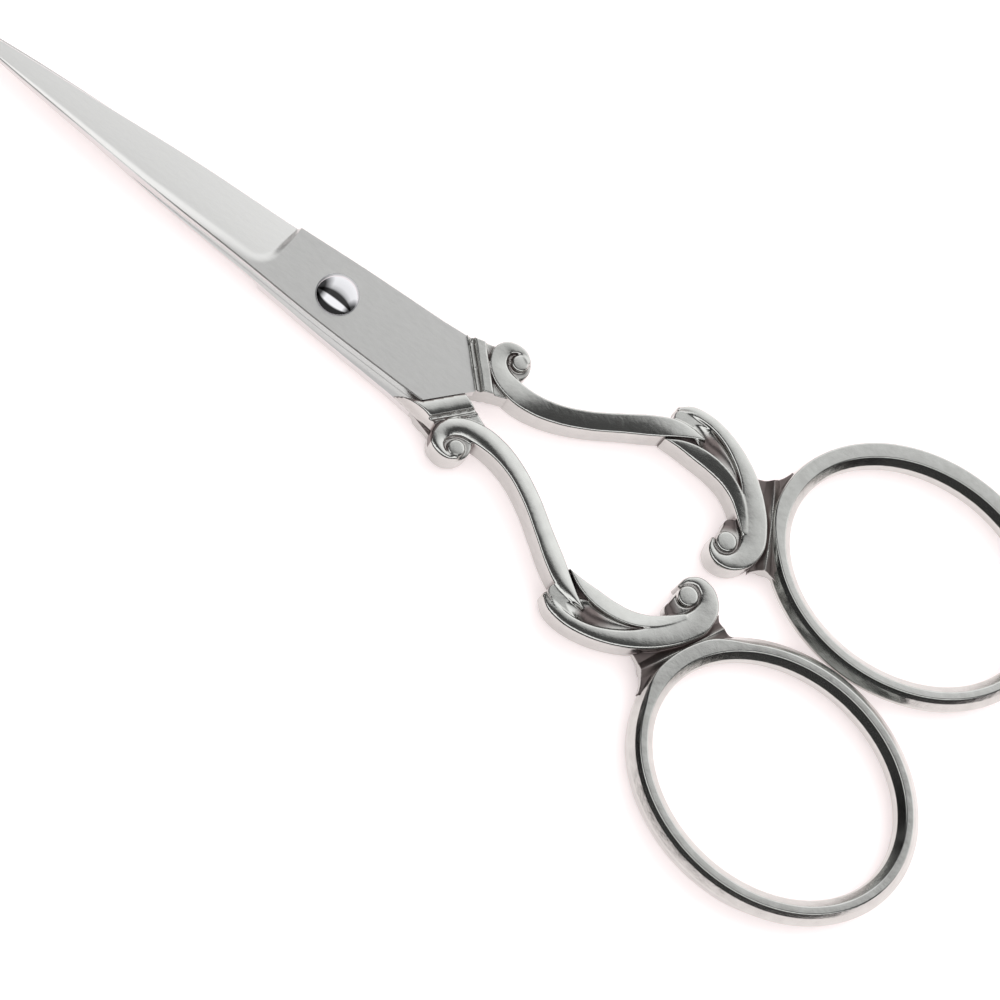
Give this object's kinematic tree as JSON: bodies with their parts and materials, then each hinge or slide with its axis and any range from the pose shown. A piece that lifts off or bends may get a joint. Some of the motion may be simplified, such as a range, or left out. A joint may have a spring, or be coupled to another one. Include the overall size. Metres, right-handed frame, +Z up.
{
  "type": "embroidery scissors",
  "caption": "Small embroidery scissors: narrow ground blades on a domed pivot screw, scrolled leaf handles and oval finger rings.",
  "frame": {"origin": "under the middle of the closed scissors' bounding box, on the table they lie on", "axes": "+X from the blade points towards the finger rings, +Y towards the front half's handle, +Z up off the table along the pivot screw, head upwards"},
  "size_m": [0.1148, 0.047, 0.0041],
  "materials": {
    "blade_steel": "fine satin grind, brighter on the ground bevels",
    "handle_plating": "polished nickel plating, slightly dulled in the hollows",
    "screw_plating": "mirror polished"
  },
  "bodies": {
    "back_half": {"back_blade": "blade_steel", "back_handle": "handle_plating", "back_finger_ring": "handle_plating", "pivot_screw": "screw_plating"},
    "front_half": {"front_blade": "blade_steel", "front_handle": "handle_plating", "front_finger_ring": "handle_plating"}
  },
  "joints": [
    {"name": "pivot", "type": "hinge", "parent": "back_half", "child": "front_half", "pos_m": [-0.01374, 0, 0.00185], "axis": [0, 0, 1], "range_deg": [0, 138]}
  ]
}
